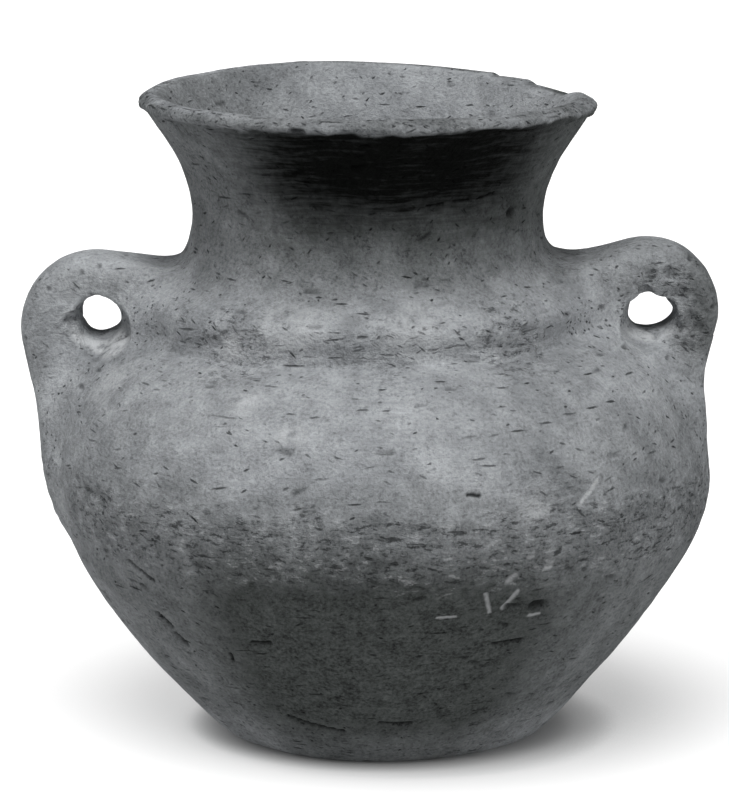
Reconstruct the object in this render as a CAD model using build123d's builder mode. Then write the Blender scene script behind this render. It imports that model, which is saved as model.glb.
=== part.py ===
"""Hand-built water jar with a flaring neck and two pierced lug handles.

The jar is put together the way its potter put it together: a floor slab, two
courses of wall that meet at the belly, a collar lapped over the shoulder, a
neck, a rolled lip, and two lugs luted to the shoulder and pierced for a cord.
Millimetres, +Z up. The origin is the centre of the flat foot, and the lugs
lie along X.
"""

from build123d import *

import os
from math import acos, atan2, cos, degrees, radians, sin

# Body: radii on its outer surface, and how far each place stands above the one before it
foot_radius = 28.0
foot_lean = 6.0  # degrees above level at which the wall leaves the foot
heel_radius, heel_rise = 46.8, 10.6
flank_inset, flank_rise = 12.0, 23.7  # insets are measured in from the belly's radius
belly_radius, belly_rise = 77.8, 26.7
shoulder_inset, shoulder_rise = 8.8, 24.5
opening_radius, opening_rise = 41.5, 14.8
opening_lean = 18.0  # degrees above level at which the shoulder reaches the opening
slab_thickness = 8.0
body_thickness = 6.0

# Neck: radii on its outer surface, about its own axis
neck_shift = -2.7  # the neck stands this far along X from the centre of the foot
ridge_radius, ridge_drop = 53.2, 1.4  # the ridge lies below the edge of the opening
ridge_lean = 32.0  # degrees from upright at which the collar closes in above its ridge
ridge_round = 1.2
collar_radius, collar_rise = 45.3, 9.7
waist_radius, waist_rise = 40.9, 13.4
flare_radius, flare_rise = 45.2, 16.8
lip_radius, lip_rise = 53.4, 11.0
lip_lean = 40.0  # degrees from upright at which the neck opens at the lip
neck_thickness = 5.5
collar_bore = 38.6
lip_thickness = 5.0
lip_depth = 6.5  # how far the rolled lip reaches down the flare
lip_round = 1.8

# Bevelled joints between the courses of clay
scarf_lean = 35.0  # degrees below level at which a joint runs outwards
belly_joint_drop = 2.5  # below the belly's widest place
neck_joint_drop = 9.0  # below the waist of the neck

# Lugs: each is a rounded ear around an eye, with a root that runs down the shoulder
lug_thickness = 16.0
lug_round = 5.5
eye_radius = 4.5
eye_throat = 5.0  # length of the straight middle of the eye
eye_mouth_radius = 7.0
web_rise = 12.7  # top of the web of clay that ties each ear to the collar, above the opening

# Each eye is measured out from the edge of the ridge and down from the opening, each ear
# from its eye, and each root in from the belly's radius and up from the belly's height
left_eye_gap, left_eye_drop = 8.9, 1.7
left_ear_shift, left_ear_rise, left_ear_radius = 1.2, -1.8, 17.4
left_root_inset, left_root_rise = 0.8, -1.0
right_eye_gap, right_eye_drop = 13.0, 0.5
right_ear_shift, right_ear_rise, right_ear_radius = -0.1, 0.2, 16.4
right_root_inset, right_root_rise = 2.8, 13.0

# Heights and radii that follow
flank_height = heel_rise + flank_rise
belly_height = flank_height + belly_rise
shoulder_height = belly_height + shoulder_rise
opening_height = shoulder_height + opening_rise
ridge_height = opening_height - ridge_drop
collar_height = ridge_height + collar_rise
waist_height = collar_height + waist_rise
flare_height = waist_height + flare_rise
lip_height = flare_height + lip_rise
flank_radius = belly_radius - flank_inset
shoulder_radius = belly_radius - shoulder_inset
left_eye_height = opening_height - left_eye_drop
right_eye_height = opening_height - right_eye_drop
left_eye_reach = ridge_radius - neck_shift + left_eye_gap
right_eye_reach = ridge_radius + neck_shift + right_eye_gap
neck_plane = Plane(origin=(neck_shift, 0, 0), x_dir=(1, 0, 0), z_dir=(0, -1, 0))
neck_axis = Axis((neck_shift, 0, 0), (0, 0, 1))
lap_height = opening_height - 2 * body_thickness  # inside the shoulder that the collar laps over
inner_waist_radius = waist_radius - neck_thickness
inner_steps = 6  # spans of the curve through the inner face of the body wall
lip_side = radians(lip_lean)


def rising(lean):
    """Direction in a section that goes outwards and rises lean degrees above level."""
    return (cos(radians(lean)), sin(radians(lean)))


def joint(radius, height, lean):
    """Plane square to a section, through one of its points, that falls lean degrees as it runs outwards."""
    return Plane(origin=(radius, height, 0), z_dir=(sin(radians(lean)), cos(radians(lean)), 0))


def inward(line):
    """Points along the inner face of the body wall, square to its outer line."""
    return [
        line @ (step / inner_steps) + (line % (step / inner_steps)).rotate(Axis.Z, 90) * body_thickness
        for step in range(inner_steps + 1)
    ]


slab_joint = joint(0, slab_thickness, 0)
belly_joint = joint(belly_radius - body_thickness / 2, belly_height - belly_joint_drop, scarf_lean)
neck_joint = joint(waist_radius - neck_thickness / 2, waist_height - neck_joint_drop, scarf_lean)
lip_joint = joint(
    lip_radius - lip_depth * sin(lip_side),
    lip_height - lip_depth * cos(lip_side),
    lip_lean,
)

# Section of the body: outer line, filled outline, and wall
with BuildLine() as lower_line:
    Spline(
        (foot_radius, 0),
        (heel_radius, heel_rise),
        (flank_radius, flank_height),
        (belly_radius, belly_height),
        tangents=[rising(foot_lean), rising(90)],
    )

with BuildLine() as upper_line:
    Spline(
        (belly_radius, belly_height),
        (shoulder_radius, shoulder_height),
        (opening_radius, opening_height),
        tangents=[rising(90), rising(180 - opening_lean)],
    )

with BuildSketch() as body_outline:
    with BuildLine():
        Line((0, 0), (foot_radius, 0))
        add(lower_line.line)
        add(upper_line.line)
        Polyline((opening_radius, opening_height), (0, opening_height), (0, 0))
    make_face()

with BuildSketch() as body_section:
    for outer_line in (lower_line, upper_line):
        with BuildLine():
            add(outer_line.line)
            inner = Spline(*inward(outer_line.line), tangents=[outer_line.line % 0, outer_line.line % 1])
            Line(outer_line.line @ 0, inner @ 0)
            Line(outer_line.line @ 1, inner @ 1)
        make_face()

# Section of the neck, from the lip down into the shoulder that it laps over
with BuildSketch() as neck_section:
    with BuildLine():
        Spline(
            (ridge_radius, ridge_height),
            (collar_radius, collar_height),
            (waist_radius, waist_height),
            tangents=[rising(90 + ridge_lean), rising(90)],
        )
        Spline(
            (waist_radius, waist_height),
            (flare_radius, flare_height),
            (lip_radius, lip_height),
            tangents=[rising(90), rising(90 - lip_lean)],
        )
        lip_face = PolarLine((lip_radius, lip_height), lip_thickness, 180 - lip_lean)
        Spline(
            lip_face @ 1,
            (inner_waist_radius, waist_height),
            (collar_bore, opening_height),
            tangents=[rising(270 - lip_lean), rising(270)],
        )
        Polyline(
            (collar_bore, opening_height),
            (collar_bore, lap_height),
            (ridge_radius, lap_height),
            (ridge_radius, ridge_height),
        )
    make_face()
    fillet(neck_section.vertices().sort_by(Axis.Y)[-2:], lip_round)
    fillet(neck_section.vertices().sort_by_distance((ridge_radius, ridge_height))[0], ridge_round)

with BuildSketch() as neck_outline:
    add(neck_section.sketch)
    with BuildLine():
        Polyline(
            (0, lap_height),
            (collar_bore + neck_thickness / 2, lap_height),
            (collar_bore + neck_thickness / 2, opening_height),
            (waist_radius - neck_thickness / 2, waist_height),
            (0, waist_height),
            (0, lap_height),
        )
    make_face()

# The body and the neck as filled forms, for the clay that is pressed on to them
with BuildPart() as body_form:
    with BuildSketch(Plane.XZ):
        add(body_outline.sketch)
    revolve(axis=Axis.Z)

with BuildPart() as neck_form:
    with BuildSketch(neck_plane):
        add(neck_outline.sketch)
    revolve(axis=neck_axis)

# Floor slab
with BuildPart() as base_slab:
    with BuildSketch(Plane.XZ):
        add(body_outline.sketch)
        split(bisect_by=slab_joint, keep=Keep.BOTTOM)
    revolve(axis=Axis.Z)

# Wall from the slab to the belly
with BuildPart() as lower_wall:
    with BuildSketch(Plane.XZ):
        add(body_section.sketch)
        split(bisect_by=slab_joint, keep=Keep.TOP)
        split(bisect_by=belly_joint, keep=Keep.BOTTOM)
    revolve(axis=Axis.Z)

# Wall from the belly over the shoulder to the opening
with BuildPart() as upper_wall:
    with BuildSketch(Plane.XZ):
        add(body_section.sketch)
        split(bisect_by=belly_joint, keep=Keep.TOP)
    revolve(axis=Axis.Z)

# Collar, with a ridge where it laps over the shoulder
with BuildPart() as neck_collar:
    with BuildSketch(neck_plane):
        add(neck_section.sketch)
        split(bisect_by=neck_joint, keep=Keep.BOTTOM)
    revolve(axis=neck_axis)
    add(body_form.part, mode=Mode.SUBTRACT)

# Neck
with BuildPart() as neck_wall:
    with BuildSketch(neck_plane):
        add(neck_section.sketch)
        split(bisect_by=neck_joint, keep=Keep.TOP)
        split(bisect_by=lip_joint, keep=Keep.BOTTOM)
    revolve(axis=neck_axis)

# Rolled lip
with BuildPart() as lip_roll:
    with BuildSketch(neck_plane):
        add(neck_section.sketch)
        split(bisect_by=lip_joint, keep=Keep.TOP)
    revolve(axis=neck_axis)

# Section of an eye about its axis: a straight throat that opens to a mouth on each face
with BuildSketch() as eye_section:
    with BuildLine():
        mouth = Line((eye_radius, eye_throat / 2), (eye_mouth_radius, lug_thickness / 2))
        rim = mouth @ 1 + mouth % 1 * lug_thickness
        Polyline((0, 0), (eye_radius, 0), mouth @ 0)
        Polyline(mouth @ 1, rim, (0, rim.Y), (0, 0))
    make_face()
    mirror(about=Plane.XZ)


def touch_angle(ear, ear_radius, end, turn):
    """Angle round an ear at which a straight line from the point end touches it."""
    reach = Vector(end) - Vector(ear)
    return degrees(atan2(reach.Y, reach.X)) + turn * degrees(acos(ear_radius / reach.length))


def lug_front(ear, ear_radius, root):
    """Front view of a lug: an ear, with a straight side from it to its root and another to its web."""
    web = (waist_radius, opening_height + web_rise)
    start = touch_angle(ear, ear_radius, root, 1)
    turn = touch_angle(ear, ear_radius, web, -1) - start
    with BuildSketch() as front:
        with BuildLine():
            arc = CenterArc(ear, ear_radius, start, turn)
            Polyline(arc @ 1, web, (0, web[1]), (0, root[1]), root, arc @ 0)
        make_face()
    return front.sketch


# Left lug
with BuildPart() as left_lug:
    with BuildSketch(Plane((0, 0, 0), x_dir=(-1, 0, 0), z_dir=(0, 1, 0))):
        add(
            lug_front(
                (left_eye_reach + left_ear_shift, left_eye_height + left_ear_rise),
                left_ear_radius,
                (belly_radius - left_root_inset, belly_height + left_root_rise),
            )
        )
    extrude(amount=lug_thickness / 2, both=True)
    fillet(left_lug.edges().filter_by(Axis.Y, reverse=True).sort_by(Axis.X)[:-2], lug_round)
    add([body_form.part, neck_form.part], mode=Mode.SUBTRACT)
    with BuildSketch(Plane((-left_eye_reach, 0, left_eye_height))):
        add(eye_section.sketch)
    revolve(axis=Axis((-left_eye_reach, 0, left_eye_height), (0, 1, 0)), mode=Mode.SUBTRACT)

# Right lug
with BuildPart() as right_lug:
    with BuildSketch(Plane.XZ):
        add(
            lug_front(
                (right_eye_reach + right_ear_shift, right_eye_height + right_ear_rise),
                right_ear_radius,
                (belly_radius - right_root_inset, belly_height + right_root_rise),
            )
        )
    extrude(amount=lug_thickness / 2, both=True)
    fillet(right_lug.edges().filter_by(Axis.Y, reverse=True).sort_by(Axis.X)[2:], lug_round)
    add([body_form.part, neck_form.part], mode=Mode.SUBTRACT)
    with BuildSketch(Plane((right_eye_reach, 0, right_eye_height))):
        add(eye_section.sketch)
    revolve(axis=Axis((right_eye_reach, 0, right_eye_height), (0, 1, 0)), mode=Mode.SUBTRACT)

base_slab.part.label = "base_slab"
lower_wall.part.label = "lower_wall"
upper_wall.part.label = "upper_wall"
neck_collar.part.label = "neck_collar"
neck_wall.part.label = "neck_wall"
lip_roll.part.label = "lip_roll"
left_lug.part.label = "left_lug"
right_lug.part.label = "right_lug"

os.makedirs("parts", exist_ok=True)
export_step(base_slab.part, "parts/base_slab.step")
export_step(lower_wall.part, "parts/lower_wall.step")
export_step(upper_wall.part, "parts/upper_wall.step")
export_step(neck_collar.part, "parts/neck_collar.step")
export_step(neck_wall.part, "parts/neck_wall.step")
export_step(lip_roll.part, "parts/lip_roll.step")
export_step(left_lug.part, "parts/left_lug.step")
export_step(right_lug.part, "parts/right_lug.step")
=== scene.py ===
"""Water jar of coarse dark earthenware, hand-built, with two pierced lugs: how its clay looks.

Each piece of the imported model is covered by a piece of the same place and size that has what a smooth
solid lacks: the unevenness of handwork, the worked band at the belly, the hollows that burnt straw left, and
lugs whose clay is drawn out over the wall. Lengths are in metres, +Z is up, and the photographed front looks
along -Y.
"""

from functools import partial
from math import cos, pi, radians, sin

import bpy
import numpy as np
from bpy.props import FloatProperty, FloatVectorProperty, IntProperty, PointerProperty
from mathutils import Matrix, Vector


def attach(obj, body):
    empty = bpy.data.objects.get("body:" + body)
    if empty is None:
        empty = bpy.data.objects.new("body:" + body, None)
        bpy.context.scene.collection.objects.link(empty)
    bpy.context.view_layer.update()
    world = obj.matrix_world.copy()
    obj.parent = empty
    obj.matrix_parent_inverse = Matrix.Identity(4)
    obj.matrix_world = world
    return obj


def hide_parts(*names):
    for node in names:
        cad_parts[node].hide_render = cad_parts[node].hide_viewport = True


bl_info = {
    "name": "Earthenware Water Jar",
    "version": (1, 0, 0),
    "blender": (4, 5, 0),
    "location": "View3D > Sidebar > Water Jar",
    "description": "Builds the clay surfaces, the clay material and the studio of a lugged water jar",
    "category": "Add Mesh",
}

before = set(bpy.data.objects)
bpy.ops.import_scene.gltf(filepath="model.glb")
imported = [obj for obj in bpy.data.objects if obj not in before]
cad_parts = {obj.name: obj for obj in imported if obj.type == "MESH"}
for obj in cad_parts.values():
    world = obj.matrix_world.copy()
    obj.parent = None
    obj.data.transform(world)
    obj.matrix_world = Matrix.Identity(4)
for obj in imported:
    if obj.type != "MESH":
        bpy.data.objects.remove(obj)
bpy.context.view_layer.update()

MM = 0.001
TURNS = 720  # points round the jar
BODY_STEP = 0.58 * MM  # between the points of the body's line
NECK_STEP = 0.55 * MM  # between the points of the neck's line
FINE_POINTS = 4000  # of a spline, before they are spaced evenly
SHARP = radians(70)  # edges that turn more than this aren't smoothed over


def hex_colour(code):
    """Linear colour of an sRGB hex value such as "8A8D90"."""
    parts = [int(code[place : place + 2], 16) / 255 for place in (0, 2, 4)]
    return tuple(part / 12.92 if part <= 0.04045 else ((part + 0.055) / 1.055) ** 2.4 for part in parts)


def corner(name, words, radius, height):
    """Property for one point of the outline: its radius and its height, given in millimetres."""
    return FloatVectorProperty(
        name=name, description=words, default=(radius * MM, height * MM), size=2, unit="LENGTH"
    )


def length(name, words, millimetres):
    """Property for a length, given in millimetres."""
    return FloatProperty(name=name, description=words, default=millimetres * MM, unit="LENGTH")


def angle(name, words, degrees):
    """Property for an angle, given in degrees."""
    return FloatProperty(name=name, description=words, default=radians(degrees), subtype="ANGLE")


def number(name, words, value):
    """Property for a plain number."""
    return FloatProperty(name=name, description=words, default=value)


def colour(name, words, code):
    """Property for a colour, given as an sRGB hex value."""
    return FloatVectorProperty(
        name=name, description=words, default=hex_colour(code), size=3, subtype="COLOR", min=0, max=1
    )


class JarShape(bpy.types.PropertyGroup):
    """Outline of the jar, as radii and heights on its outer surface."""

    foot: corner("Foot", "Edge of the foot, a little over its sole", 36.4, 0.25)
    heel: corner("Heel", "Where the wall turns up", 46.6, 9.8)
    flank: corner("Flank", "Middle of the lower wall", 65.8, 34.3)
    belly: corner("Belly", "Widest place", 77.8, 61.0)
    shoulder: corner("Shoulder", "Middle of the upper wall", 69.0, 85.5)
    opening: corner("Opening", "Edge of the upper wall, under the collar", 41.5, 100.3)
    ridge: corner("Ridge", "Foot of the ridge, from the axis of the neck", 52.8, 98.2)
    brow: corner("Brow", "Top of the ridge, where its face turns in, from the axis of the neck", 53.0, 103.4)
    collar: corner("Collar", "Hollow of the collar, from the axis of the neck", 46.3, 109.2)
    waist: corner("Waist", "Narrowest place of the neck, from its axis", 40.9, 122.0)
    flare: corner("Flare", "Middle of the flare, from the axis of the neck", 45.2, 138.8)
    lip: corner("Lip", "Outer edge of the lip, from the axis of the neck", 53.0, 151.2)
    neck_shift: length("Neck shift", "How far the neck stands along X from the body's axis", -2.7)
    body_thickness: length("Body wall", "Thickness of the body's wall", 6.0)
    slab_thickness: length("Floor slab", "Thickness of the floor", 8.0)
    neck_thickness: length("Neck wall", "Thickness of the neck's wall at its waist", 5.5)
    lip_thickness: length("Lip", "Thickness of the neck's wall under the lip", 5.4)
    lip_depth: length("Lip depth", "How far the rolled lip reaches down the flare", 6.5)
    coil_depth: length("Coil depth", "How far the coil reaches down before it steps back to the neck", 3.7)
    belly_joint: length("Belly joint", "Height of the joint between the courses of wall", 56.5)
    neck_joint: length("Neck joint", "Height of the joint between collar and neck", 109.0)
    ridge_cove: length("Ridge cove", "How far the clay under the ridge runs out over the shoulder", 0.9)


class JarLug(bpy.types.PropertyGroup):
    """One lug in front view: its round ear, its root on the shoulder, its web to the collar, and its eye."""

    side: IntProperty(name="Side", description="-1 for the left lug, 1 for the right one", default=1)
    ear: corner("Ear", "Centre of the ear", 66.0, 95.9)
    ear_radius: length("Ear radius", "Radius of the ear", 17.0)
    root: corner("Root", "Centre of the root's rounded end, inside the shoulder", 67.0, 62.0)
    root_radius: length("Root radius", "Radius of the root's rounded end", 10.5)
    web: corner("Web", "Centre of the web's rounded end, inside the neck", 48.0, 98.2)
    web_radius: length("Web radius", "Radius of the web's rounded end", 12.0)
    eye: corner("Eye", "Centre of the eye", 64.7, 98.9)
    eye_radii: corner("Eye radii", "Half the width and half the height of the eye's throat", 5.2, 5.4)
    half_thickness: length("Half thickness", "Half the thickness at the ear", 8.0)
    spread: length("Spread", "How much further each face stands out where the lug meets the wall", 6.0)
    rounding: length("Rounding", "How far the edges are rounded over", 6.0)
    blend: length("Blend", "How far the clay is drawn out over the wall", 8.5)
    face_blend: length("Face blend", "How much further the clay is drawn out in front and behind", 6.0)
    web_blend: length("Web blend", "How far the top of the web is drawn out over the neck", 4.0)
    bevel: length("Bevel", "How much wider the eye is at each face than at its throat", 0.9)
    # The sill's paleness is a painted highlight on the eye's lower side
    sill: number("Sill", "How pale the eye's lower side is rubbed", 1.0)
    chip: corner("Chip", "Centre of the broken edge beside the eye", 71.0, 97.4)
    chip_radius: length("Chip radius", "Radius of the broken edge beside the eye", 2.6)


class JarHandwork(bpy.types.PropertyGroup):
    """Unevenness that hands, tools and burnt straw left in the surface."""

    sway: length("Sway", "Depth of the broad unevenness", 0.45)
    sway_width: length("Sway width", "Width of the broad unevenness", 34.0)
    lump: length("Lumps", "Depth of the finger-wide unevenness", 0.16)
    lump_width: length("Lump width", "Width of a finger mark", 11.0)
    stroke: length("Strokes", "Depth of the level strokes of smoothing", 0.07)
    stroke_width: length("Stroke width", "Length of a smoothing stroke", 9.0)
    rough: length("Rough band", "Depth of the crumpled clay at the belly", 0.42)
    rough_width: length("Rough width", "Width of one crumple", 3.0)
    straw_length: length("Straw", "Length of the larger straw hollows", 3.6)
    straw_width: length("Straw width", "Half width of the larger straw hollows", 0.75)
    straw_depth: length("Straw depth", "Depth of the larger straw hollows", 0.5)


class JarClay(bpy.types.PropertyGroup):
    """Colours of the fired clay, as the photograph's greys show them."""

    light: colour("Light clay", "Rubbed clay of the shoulder and the lip", "AEB1B4")
    dark: colour("Dark clay", "Clay in the hollows of the mottling", "8C8F92")
    # Smoked clay, also the colour of the painted shade on the body, neck, lugs and inside the mouth
    smoked_and_shaded: colour("Smoked clay", "Clay greyed by the fire, below the belly", "484B4A")
    # Near-black painted shade under the lip
    lip_shade: colour("Soot", "Clay blackened by smoke, under the lip", "0A0B0A")
    # Painted shade in straw hollows, slits, crumb gaps and pits, multiplied into the clay
    hollow_shade: colour("Hollow", "Burnt straw hollow", "303234")
    # Pale: scratches and lime grit, and also the painted highlights
    pale: colour("Pale", "Scratches and lime grit", "D4D6D8")


class JarStudio(bpy.types.PropertyGroup):
    """Camera and light."""

    distance: length("Distance", "From the camera to the middle of the jar", 1200.0)
    elevation: angle("Elevation", "How far the camera looks down", 11.5)
    middle: length("Middle", "Height of the point the camera looks at", 75.0)
    scale: number("Scale", "Pixels to the metre at the jar's axis", 4260.0)
    middle_x: number("Middle X", "Pixel column of the middle of the jar", 378.0)
    middle_y: number("Middle Y", "Pixel row of the middle of the jar", 412.0)
    main_height: angle("Main height", "How high the main light stands", 63.0)
    main_turn: angle("Main turn", "How far right of the front the main light stands", -5.0)
    main_size: angle("Main size", "Apparent size of the main light", 40.0)
    main_power: number("Main power", "Strength of the main light", 2.6)
    front_height: angle("Front height", "How high the front light stands", 32.0)
    front_turn: angle("Front turn", "How far right of the front the front light stands", 38.0)
    front_power: number("Front power", "Strength of the front light", 0.36)
    left_height: angle("Left height", "How high the left side light stands", 28.0)
    right_height: angle("Right height", "How high the right side light stands", 4.0)
    side_turn: angle("Side turn", "How far from the front the side lights stand", 105.0)
    left_power: number("Left power", "Strength of the left side light", 0.45)
    right_power: number("Right power", "Strength of the right side light", 0.55)
    fill: number("Fill", "Strength of the light from all round", 0.12)


# ---------------------------------------------------------------- lines and sections


def rising(degrees):
    """Direction in a section, as (outwards, up), that rises so many degrees above level."""
    return np.array([cos(radians(degrees)), sin(radians(degrees))])


def evenly(line, step):
    """The same line with points about step apart, both ends kept."""
    run = np.concatenate([[0], np.cumsum(np.linalg.norm(np.diff(line, axis=0), axis=1))])
    count = max(2, int(round(run[-1] / step)) + 1)
    along = np.linspace(0, run[-1], count)
    return np.stack([np.interp(along, run, line[:, axis]) for axis in range(line.shape[1])], axis=1)


def spline(points, first, last, step):
    """Smooth line through a few points: one cubic to a span, whose slopes make the curvature run on from span
    to span, and which leaves along first and arrives along last."""
    points = np.array(points, float)
    span = np.linalg.norm(np.diff(points, axis=0), axis=1)
    start = np.concatenate([[0], np.cumsum(span)])
    chord = np.diff(points, axis=0) / span[:, None]
    system = np.eye(len(points))
    wanted = np.array([first] + [[0, 0]] * (len(points) - 2) + [last], float)
    for inner in range(1, len(points) - 1):
        before, after = span[inner - 1], span[inner]
        system[inner, inner - 1 : inner + 2] = after, 2 * (before + after), before
        wanted[inner] = 3 * (after * chord[inner - 1] + before * chord[inner])
    slope = np.linalg.solve(system, wanted)
    run = np.linspace(0, start[-1], FINE_POINTS)
    which = np.clip(np.searchsorted(start, run, side="right") - 1, 0, len(span) - 1)
    part = ((run - start[which]) / span[which])[:, None]
    reach = span[which][:, None]
    line = (
        (1 + 2 * part) * (1 - part) ** 2 * points[which]
        + part * (1 - part) ** 2 * reach * slope[which]
        + part**2 * (3 - 2 * part) * points[which + 1]
        - part**2 * (1 - part) * reach * slope[which + 1]
    )
    return evenly(line, step)


def outward(line):
    """Unit directions square to a line that runs up the outside of the jar, pointing out of the clay."""
    along = np.gradient(line, axis=0)
    along /= np.linalg.norm(along, axis=1)[:, None]
    return np.stack([along[:, 1], -along[:, 0]], axis=1)


def body_line(shape, step):
    """Outer line of the body from the edge of the foot to the opening: two splines that meet upright at the
    belly."""
    lower = spline([shape.foot, shape.heel, shape.flank, shape.belly], rising(32), rising(90), step)
    upper = spline([shape.belly, shape.shoulder, shape.opening], rising(90), rising(162), step)
    return np.concatenate([lower, upper[1:]])


def neck_line(shape, step):
    """Outer line of the neck from the ridge to the lip: two splines that meet upright at the waist."""
    collar = spline([shape.ridge, shape.brow, shape.collar, shape.waist], rising(86), rising(90), step)
    flare = spline([shape.waist, shape.flare, shape.lip], rising(90), rising(70), step)
    return np.concatenate([collar, flare[1:]])


def neck_lining(shape, line):
    """Inner line of the neck, whose wall thins from the waist to the lip."""
    share = ease(line[:, 1], shape.waist[1], shape.lip[1])
    thickness = shape.neck_thickness + (shape.lip_thickness - shape.neck_thickness) * share
    return line - outward(line) * thickness[:, None]


def at_height(line, height):
    """Number of the line's point that is nearest to a height."""
    return int(np.argmin(np.abs(line[:, 1] - height)))


def lip_joint(shape, line):
    """Number of the neck line's point where the lip takes over."""
    return len(line) - 1 - int(round(shape.lip_depth / NECK_STEP))


def turn_from_front(place, shape):
    """Turn of each place round the neck's axis, in degrees from the front to the right."""
    return np.degrees(np.arctan2(place[..., 0] - shape.neck_shift, -place[..., 1]))


# ---------------------------------------------------------------- randomness fixed in space


def dice(cells, seed):
    """A number from 0 to 1 for each cell of a lattice, always the same for the same cell and seed."""
    cells = cells.astype(np.int64).astype(np.uint64)
    mixed = cells[..., 0] * np.uint64(73856093) ^ cells[..., 1] * np.uint64(19349663)
    mixed ^= cells[..., 2] * np.uint64(83492791) ^ np.uint64(seed * 2654435761 & 0xFFFFFFFF)
    for multiplier, shift in ((0x9E3779B97F4A7C15, 29), (0xBF58476D1CE4E5B9, 32), (0x94D049BB133111EB, 31)):
        mixed = (mixed ^ (mixed >> np.uint64(shift))) * np.uint64(multiplier)
    return (mixed >> np.uint64(40)).astype(float) / 2**24


def cell_corners(part):
    """Each corner of a lattice's cell as steps along its axes, and its weight for a place so far across the
    cell."""
    for step in np.ndindex(*[2] * part.shape[-1]):
        yield step, np.prod(np.where(np.array(step) == 1, part, 1 - part), axis=-1)


def noise(place, width, seed):
    """Smooth noise from -1 to 1 whose swells are about width across: values thrown at the corners of a
    lattice, joined by a fifth-power ease along each axis."""
    place = place / width
    base = np.floor(place)
    part = place - base
    eased = part**3 * (part * (part * 6 - 15) + 10)
    total = np.zeros(place.shape[:-1])
    for step, weight in cell_corners(eased):
        total += weight * dice(base + np.array(step), seed)
    return 2 * total - 1


def ease(value, low, high):
    """0 below low, 1 above high, and a smooth rise between."""
    part = np.clip((value - low) / (high - low), 0, 1)
    return part * part * (3 - 2 * part)


def between(value, low, rise, fall, high):
    """0 below low and above high, 1 from rise to fall, and smooth between."""
    return ease(value, low, rise) * (1 - ease(value, fall, high))


def near_rod(place, centre, along, half_length):
    """Distance from places to straight rods, given by their centres, unit directions and half lengths."""
    apart = place - centre
    slide = np.clip(np.sum(apart * along, axis=-1), -half_length, half_length)
    return np.linalg.norm(apart - slide[..., None] * along, axis=-1)


def straw_hollows(place, half_length, width, share, seed):
    """How deep each place lies in a straw hollow, from 0 to 1. Space is cut into cells, a share of them
    hold one rod that lies round the jar with a small tilt, and a hollow's floor is round across the rod."""
    cell = 3.2 * half_length
    base = np.floor(place / cell - 0.5)
    deepest = np.zeros(place.shape[:-1])
    for step in np.ndindex(2, 2, 2):
        cells = base + np.array(step)
        held = dice(cells, seed) < share
        centre = np.stack([cells[..., axis] + dice(cells, seed + 1 + axis) for axis in range(3)], axis=-1)
        centre = centre * cell
        heading = np.arctan2(centre[..., 1], centre[..., 0]) + pi / 2
        tilt = (dice(cells, seed + 4) - 0.5) * 1.1
        level = np.cos(tilt)
        along = np.stack([np.cos(heading) * level, np.sin(heading) * level, np.sin(tilt)], axis=-1)
        half = half_length * (0.5 + 0.5 * dice(cells, seed + 5))
        apart = near_rod(place, centre, along, half) / width
        deepest = np.maximum(deepest, np.where(held, np.clip(1 - apart**2, 0, 1), 0))
    return deepest


# ---------------------------------------------------------------- the surface of the clay

# Marks of the photographed front: turn from the front to the right in degrees, height, length and half
# width in millimetres, tilt in degrees, and depth in millimetres. A dark mark is a pit whose colour is also
# darkened as painted shade. A pale mark is a scratch or a spot of lime grit; the one at the pit's lower rim
# is a painted highlight.
DARK_MARKS = (
    (-17.5, 11.0, 13.0, 0.9, -18, 0.9),  # long slot at the heel
    (4.6, 12.3, 7.0, 0.7, 0, 0.7),  # slot over the heel
    (-32.4, 28.9, 2.5, 0.7, 80, 0.7),  # upright slot
    (-46.5, 36.0, 3.5, 1.3, -50, 0.9),  # dent on the left, upper
    (-44.8, 31.5, 3.0, 1.2, -60, 0.9),  # dent on the left, lower
    (-23.5, 34.4, 4.5, 0.8, 5, 0.6),  # short slot on the left
    (26.5, 33.9, 7.0, 0.8, 4, 0.7),  # slot on the right
    (29.8, 43.4, 1.8, 1.9, 0, 1.5),  # pit
    (16.0, 71.2, 2.6, 0.7, -6, 0.8),  # pit over the rough band
    (-47.0, 48.0, 8.0, 0.8, -28, 0.6),  # wrinkle on the left
    (22.0, 130.3, 4.0, 0.5, 3, 0.7),  # crack in the neck, left
    (31.0, 130.8, 4.0, 0.5, 0, 0.7),  # crack in the neck, middle
    (40.5, 131.3, 5.0, 0.5, 14, 0.7),  # crack in the neck, right
    (53.6, 126.3, 0.4, 1.7, 0, 1.0),  # round pit in the neck
    (-17.0, 148.9, 2.0, 1.3, 0, 0.9),  # chip under the lip
)
PALE_MARKS = (
    (19.6, 45.4, 6.0, 0.7, -70, 0.3),  # scratch, left stroke
    (23.7, 45.9, 5.5, 0.8, 62, 0.3),  # scratch, right stroke
    (23.0, 51.4, 2.2, 1.1, 40, 0.2),  # ring
    (26.1, 56.1, 1.0, 0.8, 0, 0.2),  # grit, upper
    (29.8, 53.1, 1.2, 0.8, 0, 0.2),  # grit, lower
    (12.3, 42.5, 4.0, 0.6, 0, 0.2),  # short stroke
    # The pit's pale lower rim below is a painted highlight
    (29.8, 41.0, 2.4, 0.7, 4, 0.1),  # lower rim of the pit
    (38.0, 69.3, 7.0, 0.8, 38, 0.1),  # smear
)


# Flakes lost from the back of the lip, behind its right end: how far round each one goes, in degrees from the
# front, and its drop in millimetres
RIM_BREAKS = ((142, 0.7), (129.5, 0.8))


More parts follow.
